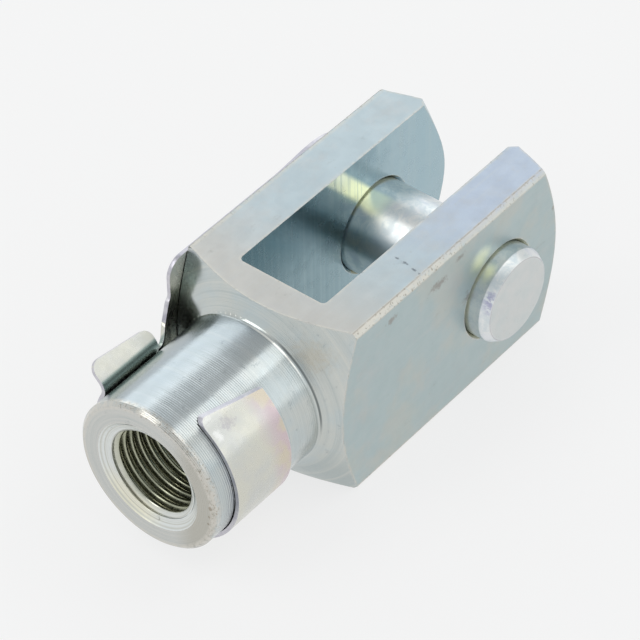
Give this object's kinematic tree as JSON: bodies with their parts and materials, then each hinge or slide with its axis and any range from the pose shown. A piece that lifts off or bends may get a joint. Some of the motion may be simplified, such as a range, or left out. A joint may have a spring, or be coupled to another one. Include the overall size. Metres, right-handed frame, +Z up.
{
  "type": "clevis rod end with spring clip pin",
  "caption": "Forked rod end with a threaded neck and a cross pin that is held by a riveted spring clip, which snaps over the neck.",
  "frame": {"origin": "centre of the cross pin, midway between the fork's ears", "axes": "+X along the rod's axis towards the fork's tips, +Y along the pin towards the clip's leaf, +Z up, square to both; the thread's mouth faces -X"},
  "size_m": [0.0829, 0.0379, 0.032],
  "materials": {
    "plated_head": "machined steel with clear zinc plating, satin",
    "plated_pin": "turned steel with clear zinc plating, bright",
    "plated_clip": "spring steel sheet with clear zinc plating, bright"
  },
  "bodies": {
    "head": {"fork_head": "plated_head"},
    "pin_and_clip": {"clevis_pin": "plated_pin", "spring_clip": "plated_clip"}
  },
  "joints": [
    {"name": "clip_swing", "type": "hinge", "parent": "head", "child": "pin_and_clip", "pos_m": [0, 0, 0], "axis": [0, -1, 0], "range_deg": [0, 327], "deforming": ["spring_clip"]}
  ]
}
